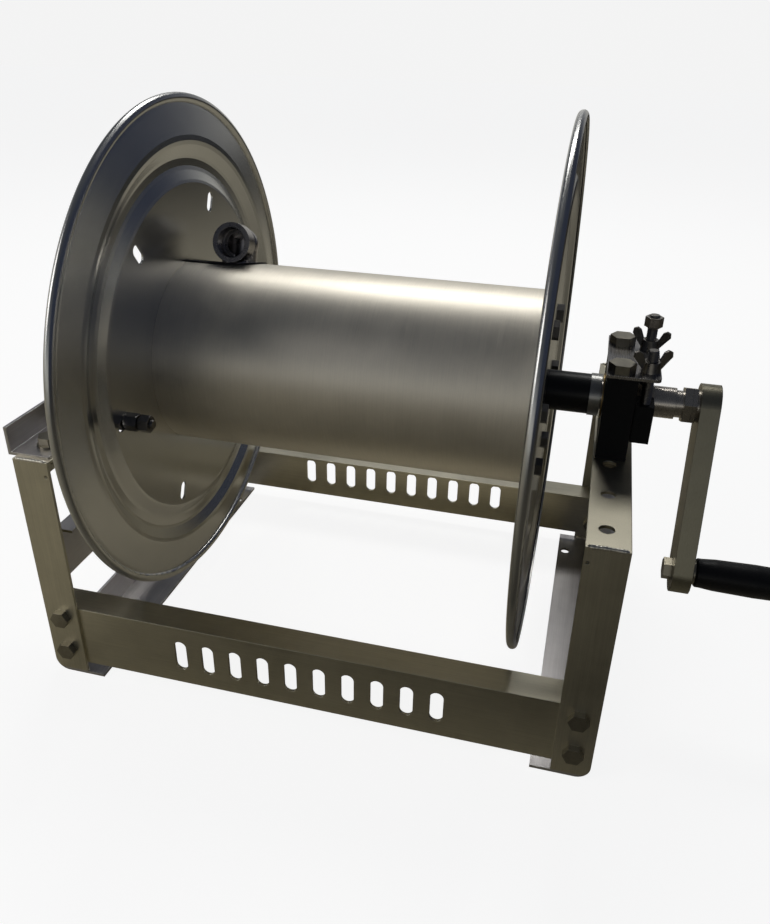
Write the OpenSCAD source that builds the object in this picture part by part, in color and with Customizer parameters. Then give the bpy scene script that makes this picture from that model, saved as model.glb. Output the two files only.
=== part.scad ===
// Hand-cranked hose reel on two bent side frames.
// X runs along the reel axis towards the crank, Y runs front to back
// (the hose side is -Y), Z is up. The origin is the centre of the foot
// bolt pattern, on the ground plane. All lengths in mm.

/* [Spool] */
// Outside diameter of the side discs
disc_d = 508; // [490:1:512]
// Distance between the inner faces of the two disc rims
disc_gap = 374; // [360:1:380]
// Thickness of the disc sheet
disc_t = 2; // [1.5:0.1:2.5]
// Outside diameter of the drum
drum_d = 191; // [184:1:200]
// Wall thickness of the drum
drum_t = 3; // [2:0.5:4]
// Radius of the circle the disc slots lie on
slot_r = 156; // [150:1:160]
// Radius of the circle of disc bolts
disc_bolt_r = 78; // [70:1:80]

/* [Axle] */
// Diameter of the axle where it runs in the bushes
axle_d = 30; // [28:0.5:31]
// Radial running clearance of the axle in bushes, swivel and brake shoe
run_clear = 0.06; // [0.03:0.01:0.1]
// Waterway diameter in the axle and riser
water_d = 18; // [14:1:20]
// Lean of the outlet riser from straight up, towards the back
riser_lean = 18; // [0:1:25]

/* [Side frames] */
// Height of the axle above the ground
axle_h = 296; // [294:1:300]
// Outer face to outer face of the two side frames
frame_w = 554; // [552:1:558]
// Width of the bent strip of each side frame
strip_w = 36; // [34:1:38]
// Sheet thickness of the side frames
sheet = 3; // [2.5:0.5:3]
// Front to back depth of the side frames
frame_depth = 408; // [404:1:412]
// Height of the side frames' flat top
knee_z = 252; // [250:1:254]
// Height of the top of the bearing blocks
top_z = 334; // [332:1:336]
// Spacing of the plain holes along the flat top
hole_pitch = 58; // [56:1:60]
// Depth of the outer flange of the strip
flange = 37; // [35:1:37]

/* [Feet and crossbars] */
// Radius of the foot bolt holes
foot_hole_r = 5.5; // [4.5:0.25:6]
// Front to back spacing of the foot bolt holes
foot_pitch_y = 330; // [320:1:334]
// Lower edge of the crossbars above the ground
bar_z0 = 13; // [12:1:16]
// Height of the crossbars
bar_h = 70; // [66:1:72]
// Depth of the crossbars' top flange
bar_flange = 30; // [26:1:32]
// Number of plain slots in each crossbar
bar_slots = 10; // [6:1:10]

/* [Crank] */
// Distance from the axle to the handle bolt
crank_r = 161; // [150:1:165]
// Angle of the crank arm from straight down, towards the front
crank_lean = 19; // [0:1:40]
// Half of the crank arm's width
arm_hw = 22; // [19:1:23]
// Length of the rubber grip
grip_len = 110; // [100:1:120]

/* [Hidden] */
$fn = 72;
disc_r = disc_d / 2;
drum_r = drum_d / 2;
xg = disc_gap / 2;
ar = axle_d / 2;
fxo = frame_w / 2;
fxi = fxo - strip_w;
fxm = (fxo + fxi) / 2;
fy = frame_depth / 2;
tz = top_z;
foot_x = fxi - 10;
base_in = fxi - 19;
brake_x = fxo + 3.5;
blk_z0 = knee_z;
blk_z1 = tz;
plate_t = 3;
arm_x0 = fxo + 54;
arm_x1 = fxo + 72;

alu = [0.72, 0.71, 0.68];
alu_dark = [0.55, 0.56, 0.58];
stainless = [0.62, 0.6, 0.57];
zinc = [0.5, 0.5, 0.48];
black = [0.1, 0.1, 0.11];

// ---- helpers -------------------------------------------------------------

// Solid cylinder along X from x0 to x1, centred on (y, z)
module xcyl(x0, x1, r, y = 0, z = 0) {
  translate([x0, y, z]) rotate([0, 90, 0]) cylinder(h = x1 - x0, r = r);
}

// Ring along X
module xring(x0, x1, ro, ri, y = 0, z = 0) {
  difference() {
    xcyl(x0, x1, ro, y, z);
    xcyl(x0 - 1, x1 + 1, ri, y, z);
  }
}

// Hexagonal prism along X; af is the width across the flats
module xhex(x0, x1, af, y = 0, z = 0, turn = 0) {
  translate([x0, y, z]) rotate([0, 90, 0]) rotate([0, 0, turn])
    cylinder(h = x1 - x0, r = af / sqrt(3), $fn = 6);
}

// Hexagonal prism along +Z from the origin
module zhex(h, af) {
  cylinder(h = h, r = af / sqrt(3), $fn = 6);
}

// Profile in the YZ plane, extruded along X from x0 to x1
module yz(x0, x1) {
  translate([x0, 0, 0]) rotate([90, 0, 90]) linear_extrude(height = x1 - x0) children();
}

// Polygon inset by d, corners kept sharp; points run clockwise
function rnorm(a, b) = let (d = b - a) [d[1], -d[0]] / norm(d);
function cr(u, v) = u[0] * v[1] - u[1] * v[0];
function meet(p, u, q, v) = p + u * (cr(q - p, v) / cr(u, v));
function inset(P, d) = [for (i = [0:len(P) - 1])
  let (a = P[(i + len(P) - 1) % len(P)], b = P[i], c = P[(i + 1) % len(P)])
  meet(a + rnorm(a, b) * d, b - a, b + rnorm(b, c) * d, c - b)];

house = [[-fy, 0], [-fy, knee_z], [fy, knee_z], [fy, 0]];

// ---- spool ---------------------------------------------------------------

// Points of the disc's inner face as [radius, distance outwards from the rim face]
face = [[ar + 0.5, 0], [171, 0], [174, 0.6], [183, 4.2], [187, 5], [194, 5], [197, 4.2],
  [207, -1], [211, -1.8], [216, -1.5], [242, 2.6], [246.5, 3.6]];
k = disc_r / 254;

module disc_blank() {
  n = len(face);
  rotate([0, 90, 0]) rotate_extrude() polygon(concat(
    [for (i = [0:n - 1]) [face[i][0] * (i == 0 ? 1 : k), xg + face[i][1]]],
    [for (i = [n - 1:-1:0]) [face[i][0] * (i == 0 ? 1 : k), xg + face[i][1] + disc_t]]));
  // rolled rim, open towards the outside
  rotate([0, 90, 0]) rotate_extrude() translate([disc_r - 4.5, xg + 4.5]) difference() {
    circle(r = 4.5, $fn = 48);
    circle(r = 2.6, $fn = 48);
    translate([-4.6, 1.2]) square([3.4, 4]);
  }
}

module slot_cut() {
  for (a = [67:60:367]) rotate([a, 0, 0]) translate([0, slot_r, 0]) {
    for (s = [-1, 1]) translate([xg - 20, s * 4.5, 0]) rotate([0, 90, 0]) cylinder(h = 40, r = 5.5);
    translate([xg - 20, -4.5, -5.5]) cube([40, 9, 11]);
  }
}

module disc_side() {
  translate([0, 0, axle_h]) difference() {
    disc_blank();
    slot_cut();
    for (a = [54:60:354]) rotate([a, 0, 0]) translate([xg - 20, disc_bolt_r, 0])
      rotate([0, 90, 0]) cylinder(h = 40, r = 5.3);
  }
}

module disc_right() color(alu) disc_side();
module disc_left() color(alu) mirror([1, 0, 0]) disc_side();

module drum() color(alu) difference() {
  xring(-xg, xg, drum_r, drum_r - drum_t, 0, axle_h);
  // opening for the riser, open towards the left disc
  translate([0, 0, axle_h]) rotate([-riser_lean, 0, 0]) {
    translate([-142, -4, 60]) cylinder(h = 60, r = 29);
    translate([-xg - 1, -33, 60]) cube([xg + 1 - 142, 58, 60]);
  }
}

module end_plate(s) {
  mirror([s, 0, 0]) translate([0, 0, axle_h]) difference() {
    xcyl(xg - 8, xg, drum_r - drum_t - 0.3);
    xcyl(xg - 9, xg + 1, ar + 0.3);
    for (a = [54:60:354]) rotate([a, 0, 0]) translate([xg - 20, disc_bolt_r, 0])
      rotate([0, 90, 0]) cylinder(h = 40, r = 5.3);
  }
}
module end_plate_left() color(alu_dark) end_plate(1);
module end_plate_right() color(alu_dark) end_plate(0);

// Hollow at the left as far as the riser, with a threaded stub at the crank end
module axle() color(stainless) translate([0, 0, axle_h]) difference() {
  union() {
    xcyl(-fxo - 40, fxo + 33, ar);
    xcyl(fxo + 33, arm_x1, ar - 2);
  }
  xcyl(-fxo - 41, -130, water_d / 2);
  rotate([-riser_lean, 0, 0]) translate([-142, 0, 0]) cylinder(h = 30, r = water_d / 2);
  // groove for the swivel's retaining ring
  xring(-fxo - 35, -fxo - 32.8, ar + 1, ar - 1.4);
}

module sleeve_right() color(black) xring(xg + 2.2, fxi - 11, ar + 4.5, ar + 0.3, 0, axle_h);
module sleeve_left() color(black) mirror([1, 0, 0]) xring(xg + 2.2, fxi - 11, ar + 4.5, ar + 0.3, 0, axle_h);
module collar_right() color(zinc) xring(fxi - 11, fxi - 0.5, ar + 5.5, ar + 0.3, 0, axle_h);
module collar_left() color(zinc) mirror([1, 0, 0]) xring(fxi - 11, fxi - 0.5, ar + 5.5, ar + 0.3, 0, axle_h);

// Saddle collar on the axle with the pipe that rises to the elbow
module riser() color(stainless) translate([0, 0, axle_h]) rotate([-riser_lean, 0, 0]) difference() {
  union() {
    xcyl(-166, -118, ar + 8);
    translate([-142, 0, ar + 2]) cylinder(h = 96 - ar - 2, r = 13.35);
  }
  xcyl(-167, -117, ar + 0.3);
  translate([-142, 0, 0]) cylinder(h = 120, r = water_d / 2 + 1);
}

// Right-angle elbow with a female threaded mouth facing along the drum's tangent
module outlet_elbow() color(stainless) translate([0, 0, axle_h]) rotate([-riser_lean, 0, 0])
  translate([-142, 0, 113]) difference() {
    union() {
      translate([0, 0, -29]) cylinder(h = 12, r = 19);
      translate([0, 0, -29]) cylinder(h = 29, r = 17);
      sphere(r = 17.8);
      rotate([90, 0, 0]) cylinder(h = 27, r = 17);
      translate([0, -12, 0]) rotate([90, 0, 0]) cylinder(h = 15, r = 20);
    }
    translate([0, 0, -30]) cylinder(h = 13, r = 13.65);
    translate([0, 0, -20]) cylinder(h = 26, r = water_d / 2 + 2);
    rotate([90, 0, 0]) cylinder(h = 28, r = water_d / 2 + 2);
    translate([0, -11, 0]) rotate([90, 0, 0]) cylinder(h = 17, r = 15);
  }

// Black edge trim around the drum opening
module slot_trim() color(black) translate([0, 0, axle_h]) rotate([-riser_lean, 0, 0]) difference() {
  intersection() {
    union() {
      translate([-142, -4, 70]) cylinder(h = 40, r = 28.7);
      translate([-xg + 0.2, -32.7, 70]) cube([xg - 142, 57.4, 40]);
    }
    xring(-xg + 0.2, -100, drum_r + 1.5, drum_r - drum_t + 0.1);
  }
  translate([-142, -4, 60]) cylinder(h = 60, r = 26);
  translate([-xg - 1, -30, 60]) cube([xg + 1 - 142, 52, 60]);
}

// Hex head outside the disc, shank through the disc and the end plate
module one_disc_bolt() {
  xhex(xg + 2, xg + 8.5, 16);
  xcyl(xg - 19, xg + 2.5, 5);
}
module disc_bolts() color(zinc) translate([0, 0, axle_h]) for (s = [0, 1]) mirror([s, 0, 0])
  for (a = [54:60:354]) rotate([a, 0, 0]) translate([0, disc_bolt_r, 0]) one_disc_bolt();

module disc_nuts() color(zinc) translate([0, 0, axle_h]) for (s = [0, 1]) mirror([s, 0, 0])
  for (a = [54:60:354]) rotate([a, 0, 0]) translate([0, disc_bolt_r, 0]) difference() {
    xhex(xg - 16, xg - 8, 16);
    xcyl(xg - 17, xg - 7, 5.3);
  }

// Clamp stud fixed in one slot of the left disc, its nut on the inner face
module disc_stud() color(zinc) translate([0, 0, axle_h]) rotate([187, 0, 0]) translate([0, 151, 0]) {
  mirror([1, 0, 0]) xcyl(xg - 28, xg + 9.5, 4.7);
  mirror([1, 0, 0]) xhex(xg - 13, xg, 15);
  mirror([1, 0, 0]) xhex(xg - 25, xg - 15, 15, 0, 0, 20);
  mirror([1, 0, 0]) xhex(xg + 2, xg + 8.5, 16);
}

// ---- crank ---------------------------------------------------------------

module jam_nut() color(stainless) translate([0, 0, axle_h]) difference() {
  xhex(fxo + 40, fxo + 47.5, 32, 0, 0, 10);
  xcyl(fxo + 39, fxo + 49, ar - 1.7);
}

module crank_hub() color(stainless) translate([0, 0, axle_h]) difference() {
  union() {
    xhex(fxo + 47.5, fxo + 52, 32, 0, 0, 10);
    xcyl(fxo + 52, arm_x0, 15.5);
  }
  xcyl(fxo + 46, arm_x0 + 1, ar - 1.7);
}

module arm_frame() {
  translate([0, 0, axle_h]) rotate([-crank_lean, 0, 0]) children();
}

module crank_arm() color(alu) arm_frame() difference() {
  union() {
    xcyl(arm_x0, arm_x1, arm_hw);
    translate([arm_x0, -arm_hw, -crank_r]) cube([arm_x1 - arm_x0, 2 * arm_hw, crank_r]);
    xcyl(arm_x0, arm_x1, arm_hw, 0, -crank_r);
  }
  xcyl(arm_x0 - 1, arm_x1 + 1, ar - 1.7);
  xcyl(arm_x0 - 1, arm_x1 + 1, 6.3, 0, -crank_r);
}

module handle_bolt() color(zinc) arm_frame() {
  xhex(arm_x0 - 8, arm_x0, 19, 0, -crank_r);
  xcyl(arm_x0 - 1, arm_x1 + grip_len + 14, 6, 0, -crank_r);
}

module handle_washers() color(zinc) arm_frame() for (i = [0, 1])
  xring(arm_x1 + i * 2, arm_x1 + 1.8 + i * 2, 12, 6.3, 0, -crank_r);

module grip_nut() color(zinc) arm_frame() difference() {
  xhex(arm_x1 + grip_len + 4.2, arm_x1 + grip_len + 13, 19, 0, -crank_r);
  xcyl(arm_x1 + grip_len + 4, arm_x1 + grip_len + 14, 6.3, 0, -crank_r);
}

module grip() color(black) arm_frame() translate([arm_x1 + 4, 0, -crank_r]) rotate([0, 90, 0])
  rotate_extrude() polygon([[6 + run_clear, 0], [13, 0], [14.2, 1.5], [14.2, 5], [15.4, 18],
    [16.2, grip_len / 2], [15.4, grip_len - 22], [14.6, grip_len - 6], [14, grip_len - 1.5],
    [12.8, grip_len], [6 + run_clear, grip_len]]);

// ---- side frames ---------------------------------------------------------

module side_whole(s) mirror([s, 0, 0]) difference() {
  union() {
    // bent strip: web on the outside of the loop
    yz(fxi, fxo) difference() {
      polygon(house);
      polygon(inset(house, sheet));
    }
    // flange on the outer side, with a straight rail between the legs
    yz(fxo - sheet, fxo) {
      difference() {
        polygon(house);
        polygon(inset(house, flange));
      }
      translate([-fy + flange - 1, 92]) square([2 * (fy - flange) + 2, 61]);
    }
    // the rail's top edge is turned inwards
    translate([fxo - 20, flange - fy, 153 - sheet]) cube([19, 2 * (fy - flange), sheet]);
    // foot strip, wider than the rest and turned inwards
    translate([base_in, -fy, 0]) cube([fxi - base_in + 1, 2 * fy, sheet]);
  }
  // rounded outer corner of both feet
  for (e = [-1, 1]) translate([fxo - 14, e * (fy - 9), 14]) rotate([90, 0, 0])
    translate([0, 0, -10]) difference() {
      translate([0, -15, 0]) cube([15, 15, 20]);
      translate([0, 0, -1]) cylinder(h = 22, r = 14);
    }
  // foot bolt holes
  for (e = [-1, 1]) translate([foot_x, e * foot_pitch_y / 2, -1]) cylinder(h = sheet + 2, r = foot_hole_r);
  // leg bolt holes and the small tooling holes under the front knees
  for (z = [29.8, 71]) translate([fxm, 0, z]) rotate([90, 0, 0]) {
    translate([0, 0, fy - sheet - 1]) cylinder(h = sheet + 2, r = 5.3);
    translate([0, 0, -fy - 1]) cylinder(h = sheet + 2, r = 5.3);
  }
  translate([fxi + 3.6, 1 - fy + sheet, knee_z - 15]) rotate([90, 0, 0]) cylinder(h = sheet + 2, r = 1.6);
  // block bolts, and a row of plain holes on both sides of the block
  for (e = [-1, 1]) translate([fxm - 4, e * 38, knee_z - sheet - 1]) cylinder(h = sheet + 2, r = 7.4);
  for (e = [-1, 1], i = [1:3]) translate([fxm - 2, e * i * hole_pitch, knee_z - sheet - 1])
    cylinder(h = sheet + 2, r = 6.6);
}

// The side frame is welded from three pieces, and these are the seams
module foot_zone() {
  translate([200, -fy - 5, -1]) cube([90, 2 * fy + 10, sheet + 1]);
  translate([fxo - sheet - 2, flange - fy + 0.2, -1]) cube([10, 2 * (fy - flange) - 0.4, flange + 4]);
}
module rail_zone() translate([fxo - 25, flange - fy + 0.2, 80]) cube([30, 2 * (fy - flange) - 0.4, 80]);

module side_frame(s) difference() {
  side_whole(s);
  mirror([s, 0, 0]) foot_zone();
  mirror([s, 0, 0]) rail_zone();
}
module foot_angle(s) intersection() {
  side_whole(s);
  mirror([s, 0, 0]) foot_zone();
}
module mid_rail(s) intersection() {
  side_whole(s);
  mirror([s, 0, 0]) rail_zone();
}
module side_frame_left() color(alu) side_frame(1);
module side_frame_right() color(alu) side_frame(0);
module foot_angle_left() color(alu) foot_angle(1);
module foot_angle_right() color(alu) foot_angle(0);
module mid_rail_left() color(alu) mid_rail(1);
module mid_rail_right() color(alu) mid_rail(0);

// Angle bar bolted behind the legs' webs, with a row of plain slots
module crossbar(s) mirror([0, s, 0]) difference() {
  translate([0, -fy + sheet, 0]) union() {
    translate([-fxo + sheet + 0.4, 0, bar_z0]) cube([frame_w - 2 * sheet - 0.8, sheet, bar_h]);
    translate([-fxo + sheet + 0.4, 0, bar_z0 + bar_h - sheet]) cube([frame_w - 2 * sheet - 0.8, bar_flange, sheet]);
  }
  for (x = [-1, 1], z = [29.8, 71]) translate([x * fxm, -fy + 2 * sheet + 1, z]) rotate([90, 0, 0])
    cylinder(h = sheet + 2, r = 5.3);
  for (i = [0:bar_slots - 1]) translate([(i - (bar_slots - 1) / 2) * 29, -fy + 2 * sheet + 1, bar_z0 + 35])
    rotate([90, 0, 0]) {
      for (e = [-1, 1]) translate([0, e * 11, 0]) cylinder(h = sheet + 2, r = 6.5);
      translate([-6.5, -11, 0]) cube([13, 22, sheet + 2]);
    }
}
module crossbar_front() color(alu) crossbar(0);
module crossbar_rear() color(alu) crossbar(1);

module leg_pos() for (sx = [-1, 1], sy = [0, 1], z = [29.8, 71])
  mirror([0, sy, 0]) translate([sx * fxm, -fy, z]) rotate([90, 0, 0]) children();

module leg_bolts() color(zinc) leg_pos() {
  zhex(6.4, 17);
  translate([0, 0, -18]) cylinder(h = 19, r = 5);
}
module leg_nuts() color(zinc) leg_pos() translate([0, 0, -2 * sheet - 8]) difference() {
  zhex(8, 16);
  translate([0, 0, -1]) cylinder(h = 10, r = 5.3);
}

// ---- bearings ------------------------------------------------------------

module bearing_block(s) mirror([s, 0, 0]) difference() {
  translate([fxi + 2, -48, blk_z0]) cube([28, 96, blk_z1 - blk_z0]);
  xcyl(fxi + 1, fxo, ar + 4, 0, axle_h);
  for (e = [-1, 1]) translate([fxm - 4, e * 38, blk_z0 - 1]) cylinder(h = 120, r = 7.4);
}
module bearing_block_left() color(black) bearing_block(1);
module bearing_block_right() color(black) bearing_block(0);

module bush(s) mirror([s, 0, 0]) translate([0, 0, axle_h]) difference() {
  union() {
    xcyl(fxi + 0.6, fxi + 2, ar + 7);
    xcyl(fxi + 1, fxi + 29.6, ar + 3.7);
  }
  xcyl(fxi, fxo, ar + run_clear);
}
module bush_left() color([0.75, 0.62, 0.35]) bush(1);
module bush_right() color([0.75, 0.62, 0.35]) bush(0);

// Two long hex bolts a side, through block and frame; the right pair also hold the top plate
module block_bolts() color(zinc) for (s = [0, 1]) mirror([s, 0, 0]) for (e = [-1, 1])
  translate([fxm - 4, e * 38, 0]) {
    translate([0, 0, tz + (s == 0 ? plate_t : 0)]) zhex(8.8, 21.5);
    translate([0, 0, knee_z - sheet - 15]) cylinder(h = tz + (s == 0 ? plate_t : 0) - knee_z + sheet + 16, r = 7);
  }
module block_nuts() color(zinc) for (s = [0, 1]) mirror([s, 0, 0]) for (e = [-1, 1])
  translate([fxm - 4, e * 38, knee_z - sheet - 12]) difference() {
    zhex(12, 21.5);
    translate([0, 0, -1]) cylinder(h = 14, r = 7.4);
  }

// Plate on the right bearing block, reaching out over the brake
module top_plate() color(alu) difference() {
  translate([fxi + 1, -50, tz]) union() {
    cube([43, 110, plate_t]);
    translate([41, 5, 0]) cube([7, 100, plate_t]);
    for (y = [5, 105]) translate([43, y, 0]) cylinder(h = plate_t, r = 5);
  }
  for (e = [-1, 1]) translate([fxm - 4, e * 38, tz - 1]) cylinder(h = 5, r = 7.4);
  for (e = [-1, 1]) translate([brake_x, e * 30, tz - 1]) cylinder(h = 5, r = 5.6);
}

// ---- drag brake ----------------------------------------------------------

module brake_shoe() color(black) difference() {
  translate([brake_x - 8.5, -41, axle_h - 27]) cube([17, 82, 37]);
  // saddle for the axle, open at the top so that the shoe can be lowered
  xcyl(fxo - 20, fxo + 40, ar + run_clear, 0, axle_h);
  translate([fxo - 20, -ar - run_clear, axle_h]) cube([60, 2 * (ar + run_clear), 30]);
  for (e = [-1, 1]) translate([brake_x, e * 30, axle_h - 20]) cylinder(h = 60, r = 5.3);
}

// Studs screwed into the shoe, passing up through the top plate
module brake_studs() color(zinc) for (e = [-1, 1]) translate([brake_x, e * 30, axle_h - 19.6])
  cylinder(h = e > 0 ? 95.6 : 81.6, r = 5);

module stud_stop_nut() color(stainless) translate([brake_x, 30, tz + 26]) difference() {
  zhex(9.5, 15);
  translate([0, 0, -1]) cylinder(h = 12, r = 5.3);
}

module wing_nut() difference() {
  union() {
    rotate_extrude() polygon([[0, 0], [9, 0], [7.5, 10], [0, 10]]);
    for (a = [0, 180]) rotate([0, 0, a]) translate([0, 1.6, 0]) rotate([90, 0, 0])
      linear_extrude(height = 3.2) polygon([[4, 1], [8, 1], [14, 9], [18, 14], [17.5, 18.5], [14, 20], [10.5, 18], [7, 10], [4, 8]]);
  }
  translate([0, 0, -1]) cylinder(h = 30, r = 5.3);
}
module wing_nut_front() color(stainless) translate([brake_x, -30, tz + plate_t]) rotate([0, 0, 20]) wing_nut();
module wing_nut_rear() color(stainless) translate([brake_x, 30, tz + plate_t]) rotate([0, 0, -15]) wing_nut();

// ---- inlet swivel --------------------------------------------------------

module swivel_body() color(stainless) mirror([1, 0, 0]) translate([0, 0, axle_h]) difference() {
  union() {
    xcyl(fxo + 5, fxo + 44, ar + 8);
    xhex(fxo + 44, fxo + 66, 44);
  }
  xcyl(fxo + 4, fxo + 42, ar + run_clear);
  xcyl(fxo + 4, fxo + 67, 11);
  xcyl(fxo + 46, fxo + 67, 15);
  // room for the retaining ring
  xcyl(fxo + 32, fxo + 36, ar + 3);
}

module swivel_ring() color(zinc) mirror([1, 0, 0]) translate([0, 0, axle_h])
  xring(fxo + 33, fxo + 34.8, ar + 2.4, ar - 1.1);

// ---- left side rail ------------------------------------------------------

// Angle bracket on the left frame's flat top: base and an upright wall outside
module side_rail() color(alu) difference() {
  union() {
    translate([-fxo - 8, 6 - fy, knee_z]) cube([42, 132, 3]);
    translate([-fxo - 8, 6 - fy, knee_z]) cube([3, 132, 28]);
  }
  for (i = [2, 3]) translate([2 - fxm, -i * hole_pitch, knee_z - 1]) cylinder(h = 5, r = 6.6);
}
module rail_bolts() color(zinc) for (i = [2, 3]) translate([2 - fxm, -i * hole_pitch, knee_z]) {
  translate([0, 0, 3]) cylinder(h = 1.8, r = 11.5);
  translate([0, 0, 4]) zhex(8.3, 18);
  translate([0, 0, -sheet - 12]) cylinder(h = 18, r = 6);
}
module rail_nuts() color(zinc) for (i = [2, 3]) translate([2 - fxm, -i * hole_pitch, knee_z - sheet - 10])
  difference() {
    zhex(10, 18);
    translate([0, 0, -1]) cylinder(h = 12, r = 6.3);
  }

// ---- drawing -------------------------------------------------------------

disc_left();
disc_right();
drum();
end_plate_left();
end_plate_right();
axle();
sleeve_left();
sleeve_right();
collar_left();
collar_right();
riser();
outlet_elbow();
slot_trim();
disc_bolts();
disc_nuts();
disc_stud();
jam_nut();
crank_hub();
crank_arm();
handle_bolt();
handle_washers();
grip_nut();
grip();
side_frame_left();
side_frame_right();
foot_angle_left();
foot_angle_right();
mid_rail_left();
mid_rail_right();
crossbar_front();
crossbar_rear();
leg_bolts();
leg_nuts();
bearing_block_left();
bearing_block_right();
bush_left();
bush_right();
block_bolts();
block_nuts();
top_plate();
brake_shoe();
brake_studs();
stud_stop_nut();
wing_nut_front();
wing_nut_rear();
swivel_body();
swivel_ring();
side_rail();
rail_bolts();
rail_nuts();
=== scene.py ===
import math

import bmesh
import bpy
from mathutils import Matrix, Vector


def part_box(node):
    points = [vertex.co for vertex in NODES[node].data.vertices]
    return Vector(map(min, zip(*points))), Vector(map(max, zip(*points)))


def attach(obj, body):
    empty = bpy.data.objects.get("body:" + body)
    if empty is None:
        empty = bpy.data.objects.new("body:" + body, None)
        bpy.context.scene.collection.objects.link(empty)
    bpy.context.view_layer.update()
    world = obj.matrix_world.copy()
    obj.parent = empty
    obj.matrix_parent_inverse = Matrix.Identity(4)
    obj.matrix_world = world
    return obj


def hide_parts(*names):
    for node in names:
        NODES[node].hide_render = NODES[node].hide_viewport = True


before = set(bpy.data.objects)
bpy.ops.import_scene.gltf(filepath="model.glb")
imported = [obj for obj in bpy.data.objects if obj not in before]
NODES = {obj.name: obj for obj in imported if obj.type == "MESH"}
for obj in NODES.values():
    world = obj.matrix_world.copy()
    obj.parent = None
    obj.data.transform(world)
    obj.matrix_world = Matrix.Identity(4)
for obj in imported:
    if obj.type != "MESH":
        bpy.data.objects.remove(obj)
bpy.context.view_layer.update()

AXLE_Z = 0.296
scene = bpy.context.scene
scene.view_settings.view_transform = "Standard"
scene.view_settings.look = "None"
scene.view_settings.exposure = 0.0
scene.view_settings.gamma = 1.0

# ---------------------------------------------------------------- camera

cam_data = bpy.data.cameras.new("camera")
cam = bpy.data.objects.new("camera", cam_data)
scene.collection.objects.link(cam)
RIGHT = Vector((0.96762, 0.25177, 0.01797)).normalized()
UP = Vector((-0.13487, 0.45549, 0.87997)).normalized()
BACK = RIGHT.cross(UP).normalized()
UP = BACK.cross(RIGHT).normalized()
turn = Matrix((RIGHT, UP, BACK)).transposed().to_4x4()
turn.translation = Vector((0.21843, -0.76967, 0.61688))
cam.matrix_world = turn
cam_data.sensor_fit = "AUTO"
cam_data.sensor_width = 36.0
cam_data.lens = 36.0 * 827.17 / 924.0
cam_data.clip_start = 0.01
cam_data.clip_end = 60.0
scene.camera = cam


# ---------------------------------------------------------------- node helpers

class Graph:
    def __init__(self, tree):
        self.tree = tree

    def add(self, kind, inputs=None, **attrs):
        node = self.tree.nodes.new(kind)
        for k, v in attrs.items():
            setattr(node, k, v)
        for k, v in (inputs or {}).items():
            self.put(node.inputs[k], v)
        return node

    def put(self, socket, value):
        if isinstance(value, bpy.types.NodeSocket):
            self.tree.links.new(value, socket)
        else:
            socket.default_value = value

    def math(self, op, a, b=0.0, clamp=False):
        n = self.add("ShaderNodeMath", operation=op, use_clamp=clamp)
        self.put(n.inputs[0], a)
        self.put(n.inputs[1], b)
        return n.outputs[0]

    def noise(self, vec, scale, detail=3.0, rough=0.55, distortion=0.0):
        n = self.add("ShaderNodeTexNoise", noise_dimensions="3D")
        self.put(n.inputs["Vector"], vec)
        n.inputs["Scale"].default_value = scale
        n.inputs["Detail"].default_value = detail
        n.inputs["Roughness"].default_value = rough
        n.inputs["Distortion"].default_value = distortion
        return n.outputs["Fac"]

    def mapped(self, vec, scale=(1, 1, 1), rotation=(0, 0, 0), location=(0, 0, 0)):
        n = self.add("ShaderNodeMapping")
        self.put(n.inputs["Vector"], vec)
        n.inputs["Scale"].default_value = scale
        n.inputs["Rotation"].default_value = rotation
        n.inputs["Location"].default_value = location
        return n.outputs[0]

    def span(self, value, lo, hi, to_lo, to_hi):
        n = self.add("ShaderNodeMapRange", clamp=True)
        self.put(n.inputs["Value"], value)
        n.inputs["From Min"].default_value = lo
        n.inputs["From Max"].default_value = hi
        n.inputs["To Min"].default_value = to_lo
        n.inputs["To Max"].default_value = to_hi
        return n.outputs["Result"]

    def mix(self, fac, a, b, blend="MIX"):
        n = self.add("ShaderNodeMix", data_type="RGBA", blend_type=blend)
        self.put(n.inputs[0], fac)
        self.put(n.inputs[6], a)
        self.put(n.inputs[7], b)
        return n.outputs[2]


def rgb(r, g, b):
    return (r, g, b, 1.0)


def fresh(name):
    m = bpy.data.materials.new(name)
    m.use_nodes = True
    m.node_tree.nodes.clear()
    g = Graph(m.node_tree)
    out = g.add("ShaderNodeOutputMaterial")
    b = g.add("ShaderNodeBsdfPrincipled")
    m.node_tree.links.new(b.outputs[0], out.inputs[0])
    return m, g, b


def polar(g, co, k_r, k_t, k_x):
    """Coordinates that run round the reel's axis, with no seam."""
    off = g.add("ShaderNodeVectorMath", operation="SUBTRACT")
    g.put(off.inputs[0], co)
    off.inputs[1].default_value = (0, 0, AXLE_Z)
    sep = g.add("ShaderNodeSeparateXYZ")
    g.put(sep.inputs[0], off.outputs[0])
    yy = g.math("MULTIPLY", sep.outputs[1], sep.outputs[1])
    zz = g.math("MULTIPLY", sep.outputs[2], sep.outputs[2])
    r = g.math("SQRT", g.math("ADD", yy, zz))
    rs = g.math("MAXIMUM", r, 0.001)
    cy = g.math("DIVIDE", sep.outputs[1], rs)
    cz = g.math("DIVIDE", sep.outputs[2], rs)
    comb = g.add("ShaderNodeCombineXYZ")
    g.put(comb.inputs[0], g.math("ADD", g.math("MULTIPLY", r, k_r), g.math("MULTIPLY", sep.outputs[0], k_x)))
    g.put(comb.inputs[1], g.math("MULTIPLY", cy, k_t))
    g.put(comb.inputs[2], g.math("MULTIPLY", cz, k_t))
    return comb.outputs[0], r


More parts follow.
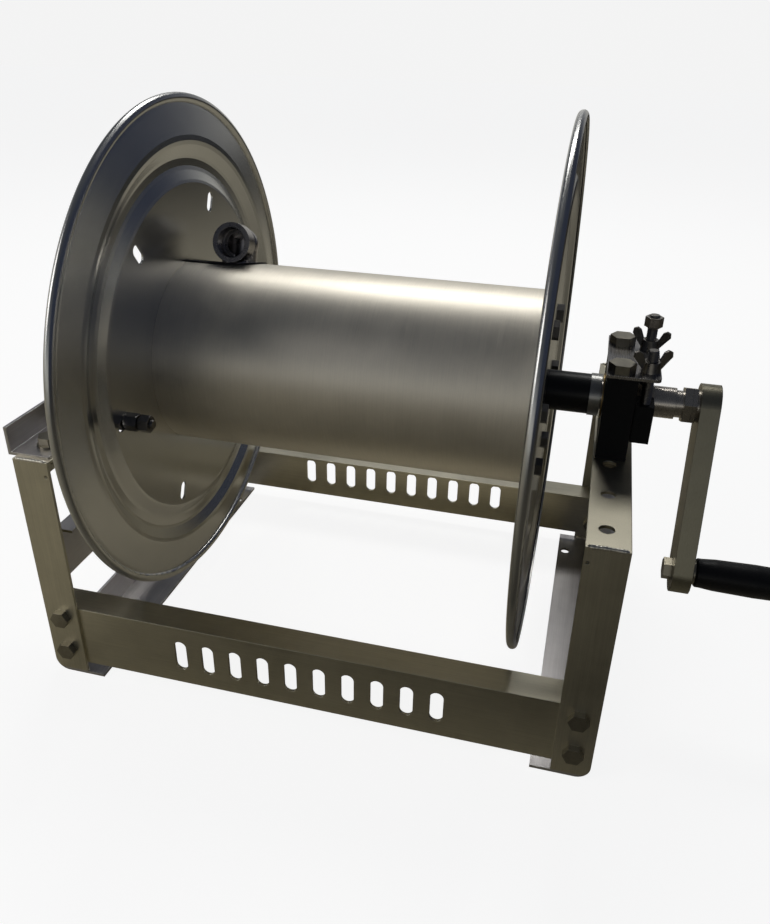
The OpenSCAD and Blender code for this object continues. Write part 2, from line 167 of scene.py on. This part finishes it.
def metal(name, base, rough, spread=0.08, streak=(1, 1, 1), turn_by=(0, 0, 0), round_axis=None,
          contrast=0.10, blotch=0.10, bump=0.12, bevel=0.0006, aniso=0.0, stain=None, speck=0.0, scratch=0.0):
    """Satin, brushed or turned metal: fine streaks, slow tarnish, rare scratches and softened edges."""
    m, g, b = fresh(name)
    co = g.add("ShaderNodeTexCoord").outputs["Object"]
    if round_axis:
        vec, radius = polar(g, co, *round_axis)
        fine = g.noise(vec, 1.0, 4.0, 0.7)
    else:
        vec = g.mapped(co, streak, turn_by)
        fine = g.noise(vec, 1.0, 4.0, 0.7)
    slow = g.noise(co, 7.0, 4.0, 0.6, 0.4)
    patch = g.noise(g.mapped(co, (1, 1, 1), (0.4, 0.9, 0.2), (3.1, 1.7, 0.3)), 38.0, 5.0, 0.65)
    tone = g.math("ADD", g.math("MULTIPLY", fine, contrast), g.math("MULTIPLY", slow, blotch))
    tone = g.math("ADD", tone, g.math("MULTIPLY", patch, blotch * 0.5))
    total = contrast + blotch * 1.5
    lo = [c * (1 - 0.75 * total) for c in base]
    hi = [min(1.0, c * (1 + 0.75 * total)) for c in base]
    colour = g.mix(g.span(tone, 0.32 * total, 0.68 * total, 0.0, 1.0), rgb(*lo), rgb(*hi))
    if stain:
        mask = g.span(g.noise(g.mapped(co, (1, 1, 0.6), (0, 0, 0), (5, 2, 1)), 16.0, 6.0, 0.7, 0.6), 0.56, 0.70, 0.0, stain[3])
        colour = g.mix(mask, colour, rgb(*stain[:3]))
    ro = g.math("ADD", g.math("MULTIPLY", fine, 0.6), g.math("MULTIPLY", slow, 0.4))
    rough_out = g.span(ro, 0.3, 0.7, rough - spread, rough + spread)
    height = g.math("MULTIPLY", fine, 1.0)
    if scratch:
        sv = g.mapped(co, (240, 9, 14), (0.5, 0.3, 0.9))
        lines = g.span(g.noise(sv, 1.0, 2.0, 0.5), 0.70, 0.78, 0.0, scratch)
        rough_out = g.math("ADD", rough_out, g.math("MULTIPLY", lines, 0.15))
        height = g.math("SUBTRACT", height, lines)
    if speck:
        pits = g.span(g.noise(co, 420.0, 2.0, 0.5), 0.66, 0.76, 0.0, speck)
        colour = g.mix(pits, colour, rgb(*[c * 0.35 for c in base]))
        height = g.math("SUBTRACT", height, pits)
    bev = g.add("ShaderNodeBevel", samples=4)
    bev.inputs["Radius"].default_value = bevel
    bp = g.add("ShaderNodeBump")
    bp.inputs["Strength"].default_value = bump
    bp.inputs["Distance"].default_value = 0.0002
    g.put(bp.inputs["Height"], height)
    g.put(bp.inputs["Normal"], bev.outputs[0])
    g.put(b.inputs["Base Color"], colour)
    g.put(b.inputs["Roughness"], rough_out)
    g.put(b.inputs["Normal"], bp.outputs[0])
    b.inputs["Metallic"].default_value = 1.0
    if aniso:
        b.inputs["Anisotropic"].default_value = aniso
        tan = g.add("ShaderNodeTangent", direction_type="RADIAL", axis="X")
        g.put(b.inputs["Tangent"], tan.outputs[0])
    return m


def black(name, base, rough, grain_scale=600.0, bump=0.15, bevel=0.0006, streak=None, coat=0.0, dust=0.02):
    """Black plastic or rubber: fine grain, slight gloss changes and a little dust."""
    m, g, b = fresh(name)
    co = g.add("ShaderNodeTexCoord").outputs["Object"]
    grain = g.noise(g.mapped(co, streak) if streak else co, 1.0 if streak else grain_scale, 3.0, 0.6)
    slow = g.noise(co, 22.0, 4.0, 0.6)
    dusty = g.span(g.noise(co, 55.0, 5.0, 0.75, 0.5), 0.50, 0.72, 0.0, dust)
    colour = g.mix(slow, rgb(*[c * 0.75 for c in base]), rgb(*[c * 1.3 for c in base]))
    colour = g.mix(dusty, colour, rgb(0.16, 0.15, 0.14))
    bev = g.add("ShaderNodeBevel", samples=4)
    bev.inputs["Radius"].default_value = bevel
    bp = g.add("ShaderNodeBump")
    bp.inputs["Strength"].default_value = bump
    bp.inputs["Distance"].default_value = 0.0003
    g.put(bp.inputs["Height"], grain)
    g.put(bp.inputs["Normal"], bev.outputs[0])
    g.put(b.inputs["Base Color"], colour)
    g.put(b.inputs["Roughness"], g.span(slow, 0.3, 0.7, rough - 0.06, rough + 0.08))
    g.put(b.inputs["Normal"], bp.outputs[0])
    b.inputs["Metallic"].default_value = 0.0
    b.inputs["Specular IOR Level"].default_value = 0.28
    if coat:
        b.inputs["Coat Weight"].default_value = coat
        b.inputs["Coat Roughness"].default_value = 0.25
    return m


WARM = (0.68, 0.64, 0.51)
M = {}
M["disc"] = metal("spun_aluminium", (0.64, 0.64, 0.63), 0.25, 0.02, round_axis=(420, 2.0, 300), contrast=0.02,
                  blotch=0.05, bump=0.018, bevel=0.0004, aniso=0.5)
M["drum"] = metal("drum_aluminium", (0.82, 0.775, 0.68), 0.46, 0.07, streak=(900, 26, 26), contrast=0.05,
                  blotch=0.07, bump=0.10, bevel=0.0005)
M["leg"] = metal("frame_aluminium", WARM, 0.38, 0.07, streak=(900, 900, 16), contrast=0.09, blotch=0.10,
                 bump=0.14, bevel=0.0012, scratch=0.35)
M["bar"] = metal("crossbar_aluminium", WARM, 0.33, 0.07, streak=(16, 900, 900), contrast=0.09, blotch=0.10,
                 bump=0.14, bevel=0.0010, scratch=0.35)
M["plate"] = metal("plate_aluminium", (0.50, 0.48, 0.46), 0.27, 0.06, streak=(700, 18, 700), contrast=0.08,
                   blotch=0.10, bump=0.12, bevel=0.0008, scratch=0.3)
M["rail"] = metal("rail_aluminium", (0.62, 0.60, 0.60), 0.34, 0.07, streak=(800, 14, 800), contrast=0.10,
                  blotch=0.10, bump=0.14, bevel=0.0006)
M["arm"] = metal("crank_aluminium", (0.32, 0.30, 0.225), 0.36, 0.06, streak=(800, 800, 18),
                 turn_by=(math.radians(19), 0, 0), contrast=0.10, blotch=0.10, bump=0.14, bevel=0.0008)
M["cast"] = metal("end_plate", (0.34, 0.34, 0.35), 0.5, 0.06, streak=(40, 40, 40), contrast=0.1, blotch=0.15)
M["stainless"] = metal("turned_stainless", (0.50, 0.465, 0.42), 0.27, 0.07, round_axis=(2600, 3.0, 2600),
                       contrast=0.12, blotch=0.16, bump=0.10, bevel=0.0005, stain=(0.30, 0.25, 0.20, 0.25))
M["elbow"] = metal("fitting_stainless", (0.42, 0.40, 0.40), 0.30, 0.07, streak=(90, 90, 90), contrast=0.08,
                   blotch=0.18, bump=0.25, bevel=0.0009, stain=(0.22, 0.20, 0.19, 0.3))
M["collar"] = metal("turned_steel", (0.36, 0.36, 0.35), 0.33, 0.08, round_axis=(2600, 3.0, 2600), contrast=0.12,
                    blotch=0.14, bump=0.10, bevel=0.0006)
M["zinc"] = metal("plated_steel", (0.36, 0.335, 0.27), 0.34, 0.08, streak=(160, 160, 160), contrast=0.08,
                  blotch=0.22, bump=0.18, bevel=0.0006, stain=(0.16, 0.14, 0.11, 0.45), speck=0.3)
M["dark_zinc"] = metal("dark_plated_steel", (0.16, 0.155, 0.15), 0.36, 0.08, streak=(160, 160, 160), contrast=0.10,
                       blotch=0.25, bump=0.2, bevel=0.0005, stain=(0.06, 0.055, 0.05, 0.5), speck=0.3)
M["wing"] = metal("wing_stainless", (0.34, 0.32, 0.29), 0.30, 0.08, streak=(200, 200, 200), contrast=0.08,
                  blotch=0.22, bump=0.22, bevel=0.0007, stain=(0.18, 0.16, 0.14, 0.4))
M["weld"] = metal("weld_aluminium", (0.72, 0.69, 0.60), 0.36, 0.08, streak=(300, 300, 300), contrast=0.12,
                  blotch=0.2, bump=0.35, bevel=0.0003)
M["bronze"] = metal("bush_bronze", (0.52, 0.38, 0.19), 0.34, 0.07, round_axis=(2200, 3.0, 1500), contrast=0.1,
                    blotch=0.15, bevel=0.0004)
M["tube"] = black("black_tube", (0.012, 0.012, 0.014), 0.42, bump=0.10, streak=(70, 1400, 1400), coat=0.1)
M["block"] = black("black_block", (0.008, 0.0085, 0.010), 0.50, bump=0.12, bevel=0.0012, streak=(900, 60, 900))
M["trim"] = black("black_trim", (0.012, 0.012, 0.013), 0.5, bevel=0.0004)
M["grip"] = black("black_grip", (0.010, 0.010, 0.011), 0.44, grain_scale=900, bump=0.22, bevel=0.0008, coat=0.05)

LOOKS = {
    "disc_left": "disc", "disc_right": "disc", "drum": "drum", "end_plate_left": "cast", "end_plate_right": "cast",
    "axle": "stainless", "sleeve_left": "tube", "sleeve_right": "tube", "collar_left": "collar",
    "collar_right": "collar", "riser": "elbow", "outlet_elbow": "elbow", "slot_trim": "trim",
    "disc_bolts": "dark_zinc", "disc_nuts": "zinc", "disc_stud": "dark_zinc", "jam_nut": "stainless",
    "crank_hub": "stainless", "crank_arm": "arm", "handle_bolt": "zinc", "handle_washers": "zinc",
    "grip_nut": "zinc", "grip": "grip", "side_frame_left": "leg", "side_frame_right": "leg",
    "foot_angle_left": "rail", "foot_angle_right": "rail", "mid_rail_left": "rail", "mid_rail_right": "rail",
    "crossbar_front": "bar", "crossbar_rear": "bar", "leg_bolts": "zinc", "leg_nuts": "zinc",
    "bearing_block_left": "block", "bearing_block_right": "block",
    "bush_left": "bronze", "bush_right": "bronze", "block_bolts": "zinc", "block_nuts": "zinc",
    "top_plate": "plate", "brake_shoe": "block", "brake_studs": "wing", "stud_stop_nut": "stainless",
    "wing_nut_front": "wing", "wing_nut_rear": "wing", "swivel_body": "stainless", "swivel_ring": "zinc",
    "side_rail": "rail", "rail_bolts": "zinc", "rail_nuts": "zinc",
}
for name, obj in NODES.items():
    look = M[LOOKS.get(name, "zinc")]
    obj.data.materials.clear()
    obj.data.materials.append(look)

# ---------------------------------------------------------------- small pieces built here


def mesh_object(name, verts, faces, look, body, smooth=True):
    me = bpy.data.meshes.new(name)
    me.from_pydata([tuple(v) for v in verts], [], faces)
    me.validate()
    me.update()
    if smooth:
        for p in me.polygons:
            p.use_smooth = True
    me.materials.append(M[look])
    ob = bpy.data.objects.new(name, me)
    scene.collection.objects.link(ob)
    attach(ob, body)
    return ob


def basis(axis):
    a = Vector(axis).normalized()
    side = Vector((0, 0, 1)) if abs(a.z) < 0.9 else Vector((1, 0, 0))
    u = a.cross(side).normalized()
    return a, u, a.cross(u).normalized()


def thread_surface(start, axis, length, crest, root, pitch, around=36, chamfer=True, cap=True, flip=False):
    """A helical thread as one grid: the radius runs between root and crest along a single-start helix."""
    a, u, v = basis(axis)
    p0 = Vector(start)
    steps = max(4, int(length / pitch * 10))
    verts, faces = [], []
    for i in range(steps + 1):
        s = length * i / steps
        for j in range(around):
            t = 2 * math.pi * j / around
            ph = (s / pitch - j / around) % 1.0
            tri = 1.0 - abs(2.0 * ph - 1.0)
            tri = min(1.0, max(0.0, (tri - 0.12) / 0.76))
            r = root + (crest - root) * tri
            if chamfer:
                end = min(s, length - s) / (1.0 * pitch)
                limit = root * 0.96 + (crest - root * 0.96) * min(1.0, end)
                r = min(r, limit) if crest > root else r
            verts.append(p0 + a * s + (u * math.cos(t) + v * math.sin(t)) * r)
    for i in range(steps):
        for j in range(around):
            k = (j + 1) % around
            q = (i * around + j, i * around + k, (i + 1) * around + k, (i + 1) * around + j)
            faces.append(q[::-1] if flip else q)
    if cap:
        faces.append(tuple(range(around))[::-1])
        faces.append(tuple(steps * around + j for j in range(around)))
    return verts, faces


def hex_solid(centre, axis, height, flats, spin=0.0, bore=0.0, rows=4):
    """Hexagon head or nut: chamfered corners under a 30 degree cone on both ends, rounded in small steps."""
    a, u, v = basis(axis)
    p0 = Vector(centre)
    n = 72
    verts, faces = [], []
    inr = flats / 2
    prof = [(0.0, inr * 0.955), (0.0, None), (1.0, None), (1.0, inr * 0.955)]

    def hexr(t):
        w = (t - spin) % (math.pi / 3) - math.pi / 6
        return inr / math.cos(w)
    rings = []
    levels = [0.0, 0.02, 0.06, 0.12, 0.2, 0.8, 0.88, 0.94, 0.98, 1.0]
    for lv in levels:
        end = min(lv, 1 - lv) * height
        cone = inr * 0.985 + end * 1.75
        ring = []
        for j in range(n):
            t = 2 * math.pi * j / n
            r = min(hexr(t), cone)
            ring.append(len(verts))
            verts.append(p0 + a * (lv * height) + (u * math.cos(t) + v * math.sin(t)) * r)
        rings.append(ring)
    for r0, r1 in zip(rings, rings[1:]):
        for j in range(n):
            k = (j + 1) % n
            faces.append((r0[j], r0[k], r1[k], r1[j]))
    if bore:
        inner = []
        for lv in (0.0, 0.08, 0.92, 1.0):
            end = min(lv, 1 - lv) * height
            rr = bore + max(0.0, 0.0006 - end)
            ring = []
            for j in range(n):
                t = 2 * math.pi * j / n
                ring.append(len(verts))
                verts.append(p0 + a * (lv * height) + (u * math.cos(t) + v * math.sin(t)) * rr)
            inner.append(ring)
        for r0, r1 in zip(inner, inner[1:]):
            for j in range(n):
                k = (j + 1) % n
                faces.append((r0[k], r0[j], r1[j], r1[k]))
        for j in range(n):
            k = (j + 1) % n
            faces.append((rings[0][k], rings[0][j], inner[0][j], inner[0][k]))
            faces.append((rings[-1][j], rings[-1][k], inner[-1][k], inner[-1][j]))
    else:
        faces.append(tuple(rings[0])[::-1])
        faces.append(tuple(rings[-1]))
    return verts, faces


def joined(parts):
    verts, faces = [], []
    for vs, fs in parts:
        k = len(verts)
        verts += list(vs)
        faces += [tuple(i + k for i in f) for f in fs]
    return verts, faces


def creased(ob, degrees=35):
    """Smooth shading with sharp edges above an angle, set on the mesh itself."""
    bm = bmesh.new()
    bm.from_mesh(ob.data)
    lim = math.radians(degrees)
    for e in bm.edges:
        if len(e.link_faces) == 2:
            e.smooth = e.calc_face_angle(0.0) < lim
    bm.to_mesh(ob.data)
    bm.free()
    return ob


# brake studs: screwed into the shoe, threaded all the way up through the plate
bx = 0.2805
stud_parts = []
for side, top in ((-1, 0.3575), (1, 0.3715)):
    y = 0.030 * side
    stud_parts.append(thread_surface((bx, y, 0.2768), (0, 0, 1), top - 0.2768, 0.005, 0.00445, 0.0015))
v, f = joined(stud_parts)
studs = creased(mesh_object("brake_stud_threads", v, f, "wing", "brake_shoe"))
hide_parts("brake_studs")

# stud in the left disc's slot, with its nuts
ang = math.radians(187)
sy, sz = 0.151 * math.cos(ang), AXLE_Z + 0.151 * math.sin(ang)
# the gap side of the left disc faces +X
lo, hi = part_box("disc_stud")
parts = [thread_surface((-0.1965, sy, sz), (1, 0, 0), 0.0375, 0.0047, 0.0042, 0.0015)]
parts.append(hex_solid((-0.187, sy, sz), (1, 0, 0), 0.013, 0.015, 0.0, 0.0046))
parts.append(hex_solid((-0.172, sy, sz), (1, 0, 0), 0.010, 0.015, 0.35, 0.0046))
parts.append(hex_solid((-0.1955, sy, sz), (1, 0, 0), 0.0065, 0.016, 0.0, 0.0046))
v, f = joined(parts)
ds = creased(mesh_object("disc_stud_threads", v, f, "dark_zinc", "spool"))
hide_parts("disc_stud")

# thread inside the outlet's mouth and inside the inlet
lean = math.radians(18)


def leaned(x, y, z):
    return Vector((x, y * math.cos(lean) + z * math.sin(lean), AXLE_Z - y * math.sin(lean) + z * math.cos(lean)))


mouth_dir = Vector((0, -math.cos(lean), math.sin(lean)))
v, f = thread_surface(leaned(-0.142, -0.0275, 0.113) + mouth_dir * -0.0125, mouth_dir, 0.0118, 0.0143, 0.0151, 0.0022,
                      around=48, chamfer=False, cap=False, flip=True)
mesh_object("outlet_thread", v, f, "elbow", "spool")
v, f = thread_surface((-0.3245, 0, AXLE_Z), (-1, 0, 0), 0.0175, 0.0143, 0.0151, 0.0022, around=48,
                      chamfer=False, cap=False, flip=True)
mesh_object("inlet_thread", v, f, "stainless", "swivel")


def bead(name, a, b, r, body, ripple=0.0032, flat=(0, 0, 1)):
    """Weld bead from a to b: a half-round ridge whose height and width ripple."""
    a, b = Vector(a), Vector(b)
    ax, u, v = basis(b - a)
    n = int((b - a).length / 0.0004)
    k = 14
    verts, faces = [], []
    for i in range(n + 1):
        s = (b - a).length * i / n
        ph = s / ripple
        end = min(1.0, s / 0.003, ((b - a).length - s) / 0.003)
        rr = r * (0.86 + 0.12 * abs(math.sin(math.pi * ph)) + 0.05 * math.sin(ph * 1.7) + 0.04 * math.sin(ph * 0.61 + 1))
        rr *= math.sqrt(max(0.02, end))
        off = u * (0.05 * r * math.sin(ph * 0.9)) + v * (0.05 * r * math.cos(ph * 0.7))
        for j in range(k):
            t = 2 * math.pi * j / k
            verts.append(a + ax * s + off + (u * math.cos(t) + v * math.sin(t)) * rr)
    for i in range(n):
        for j in range(k):
            q = (j + 1) % k
            faces.append((i * k + j, i * k + q, (i + 1) * k + q, (i + 1) * k + j))
    faces.append(tuple(range(k))[::-1])
    faces.append(tuple(n * k + j for j in range(k)))
    return mesh_object(name, verts, faces, "weld", body)


# welds at the knees, and where the foot and the rail meet the legs
for sx, side in ((-1, "left"), (1, "right")):
    for sy_, where in ((-1, "front"), (1, "back")):
        bead("weld_knee_%s_%s" % (where, side), (sx * 0.2425, sy_ * 0.2026, 0.2518), (sx * 0.2755, sy_ * 0.2026, 0.2518),
             0.0021, "frame")
        bead("weld_rail_%s_%s" % (where, side), (sx * 0.2738, sy_ * 0.1669, 0.0915), (sx * 0.2738, sy_ * 0.1669, 0.1465),
             0.0020, "frame")
        bead("weld_foot_%s_%s" % (where, side), (sx * 0.243, sy_ * 0.2010, 0.0036), (sx * 0.268, sy_ * 0.2010, 0.0036),
             0.0020, "frame")

# ---------------------------------------------------------------- stage


def stage_material(name, seen, other, glow):
    m = bpy.data.materials.new(name)
    m.use_nodes = True
    m.node_tree.nodes.clear()
    g = Graph(m.node_tree)
    out = g.add("ShaderNodeOutputMaterial")
    path = g.add("ShaderNodeLightPath")
    d1 = g.add("ShaderNodeBsdfDiffuse")
    d1.inputs["Color"].default_value = rgb(0.22, 0.22, 0.22)
    e1 = g.add("ShaderNodeEmission")
    e1.inputs["Color"].default_value = rgb(*seen)
    e1.inputs["Strength"].default_value = glow
    add = g.add("ShaderNodeAddShader")
    g.put(add.inputs[0], d1.outputs[0])
    g.put(add.inputs[1], e1.outputs[0])
    d2 = g.add("ShaderNodeBsdfDiffuse")
    # what the metal reflects: lighter in front on the left, darker towards the right
    sp = g.add("ShaderNodeSeparateXYZ")
    g.put(sp.inputs[0], g.add("ShaderNodeTexCoord").outputs["Object"])
    front = g.mix(g.span(sp.outputs[0], -0.42, 0.22, 0.0, 1.0), rgb(*[c * 1.55 for c in other]), rgb(*[c * 0.58 for c in other]))
    back = g.mix(g.span(sp.outputs[0], 0.45, 1.1, 0.0, 1.0), rgb(*[c * 2.0 for c in other]), rgb(*[c * 0.3 for c in other]))
    g.put(d2.inputs["Color"], g.mix(g.span(sp.outputs[1], -0.30, -0.18, 0.0, 1.0), front, back))
    mx = g.add("ShaderNodeMixShader")
    g.put(mx.inputs[0], path.outputs["Is Camera Ray"])
    g.put(mx.inputs[1], d2.outputs[0])
    g.put(mx.inputs[2], add.outputs[0])
    g.put(out.inputs[0], mx.outputs[0])
    return m


floor_me = bpy.data.meshes.new("floor")
R = 9.0
floor_me.from_pydata([(-R, -R, 0), (R, -R, 0), (R, R, 0), (-R, R, 0)], [], [(0, 1, 2, 3)])
floor_me.materials.append(stage_material("floor", (0.95, 0.95, 0.95), (0.36, 0.33, 0.255), 0.93))
floor = bpy.data.objects.new("floor", floor_me)
floor.location = (0, 0, -0.0002)
scene.collection.objects.link(floor)

world = bpy.data.worlds.new("world")
scene.world = world
world.use_nodes = True
world.node_tree.nodes.clear()
g = Graph(world.node_tree)
out = g.add("ShaderNodeOutputWorld")
sep = g.add("ShaderNodeSeparateXYZ")
g.put(sep.inputs[0], g.add("ShaderNodeTexCoord").outputs["Generated"])
ramp = g.add("ShaderNodeValToRGB")
g.put(ramp.inputs[0], g.span(sep.outputs[2], -0.2, 1.0, 0.0, 1.0))
el = ramp.color_ramp.elements
el[0].position, el[0].color = 0.0, rgb(0.30, 0.28, 0.24)
el[1].position, el[1].color = 1.0, rgb(0.05, 0.055, 0.065)
for pos, col in ((0.17, (0.62, 0.61, 0.56)), (0.28, (0.55, 0.55, 0.53)), (0.42, (0.14, 0.15, 0.17)),
                 (0.62, (0.055, 0.06, 0.07))):
    e = el.new(pos)
    e.color = rgb(*col)
bg_light = g.add("ShaderNodeBackground")
side = g.span(sep.outputs[0], 0.12, 0.46, 0.0, 1.0)
g.put(bg_light.inputs[0], g.mix(side, ramp.outputs[0], rgb(0.032, 0.038, 0.058)))
bg_light.inputs[1].default_value = 1.0
bg_seen = g.add("ShaderNodeBackground")
bg_seen.inputs[0].default_value = rgb(0.90, 0.90, 0.90)
path = g.add("ShaderNodeLightPath")
mx = g.add("ShaderNodeMixShader")
g.put(mx.inputs[0], path.outputs["Is Camera Ray"])
g.put(mx.inputs[1], bg_light.outputs[0])
g.put(mx.inputs[2], bg_seen.outputs[0])
g.put(out.inputs[0], mx.outputs[0])


def area(name, at, to, size, power, colour=(1, 1, 1), size_y=None):
    d = bpy.data.lights.new(name, "AREA")
    d.energy = power
    d.color = colour
    d.size = size
    if size_y:
        d.shape = "RECTANGLE"
        d.size_y = size_y
    o = bpy.data.objects.new(name, d)
    o.location = at
    o.rotation_mode = "QUATERNION"
    o.rotation_quaternion = (Vector(to) - Vector(at)).to_track_quat("-Z", "Y")
    scene.collection.objects.link(o)
    return o


area("soft_top", (-0.3, 1.7, 2.45), (0, 0, 0.2), 1.6, 22, (1.0, 0.99, 0.96), 0.6)
area("soft_left", (-2.0, -1.3, 1.5), (0, 0, 0.3), 1.2, 10, (1.0, 0.98, 0.95))
